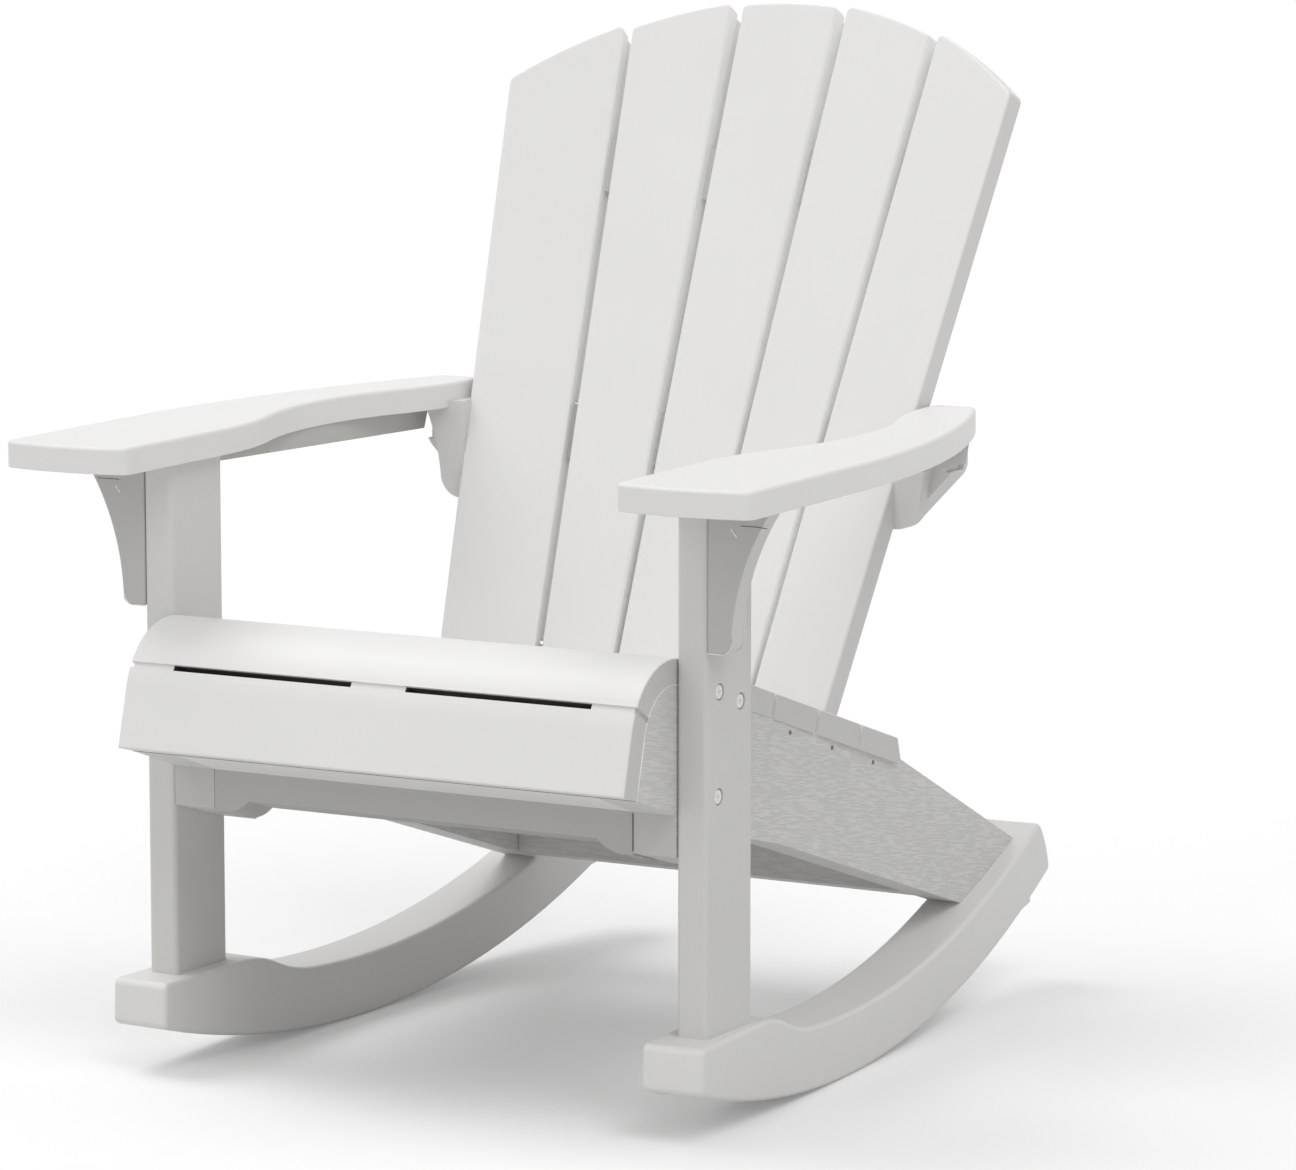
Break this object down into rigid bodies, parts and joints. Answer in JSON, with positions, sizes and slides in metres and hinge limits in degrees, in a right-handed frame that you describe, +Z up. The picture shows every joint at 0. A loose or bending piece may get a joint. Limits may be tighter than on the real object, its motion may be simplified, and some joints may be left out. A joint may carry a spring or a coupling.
{
  "type": "rocking adirondack chair",
  "caption": "Outdoor lounge chair with a fan-shaped slatted back, contoured seat, paddle armrests on flat legs and a pair of curved rockers.",
  "frame": {"origin": "on the floor, in the middle of the chair's width and depth, between the armrests' front ends and the rockers' rear ends", "axes": "+Z up; the chair faces -Y; +X to the right of someone who looks at its front"},
  "size_m": [0.79, 0.8828, 0.9897],
  "materials": {
    "resin": "fine stipple, satin",
    "resin_smooth": "smooth satin",
    "resin_grained": "moulded wood grain, matt",
    "screw": "coated off-white"
  },
  "bodies": {
    "root": {"rocker_right": "resin", "rocker_left": "resin", "rocker_stop_right": "resin", "rocker_stop_left": "resin", "seat": "resin_smooth", "armrest_right": "resin_smooth", "armrest_left": "resin_smooth", "front_leg_right": "resin", "front_leg_left": "resin", "leg_screws_right": "screw", "leg_screws_left": "screw", "arm_rib_right": "resin", "arm_rib_left": "resin", "side_panel_right": "resin_grained", "side_panel_left": "resin_grained", "arm_gusset_right": "resin", "arm_gusset_left": "resin", "front_crossbar": "resin_grained", "rear_stretcher": "resin_grained", "back_slat_1": "resin_smooth", "back_slat_2": "resin_smooth", "back_slat_3": "resin_smooth", "back_slat_4": "resin_smooth", "back_slat_5": "resin_smooth", "upper_batten": "resin", "lower_batten": "resin", "arm_rail": "resin", "leg_bolts_right": "screw", "leg_bolts_left": "screw", "back_screws": "screw"}
  },
  "joints": []
}
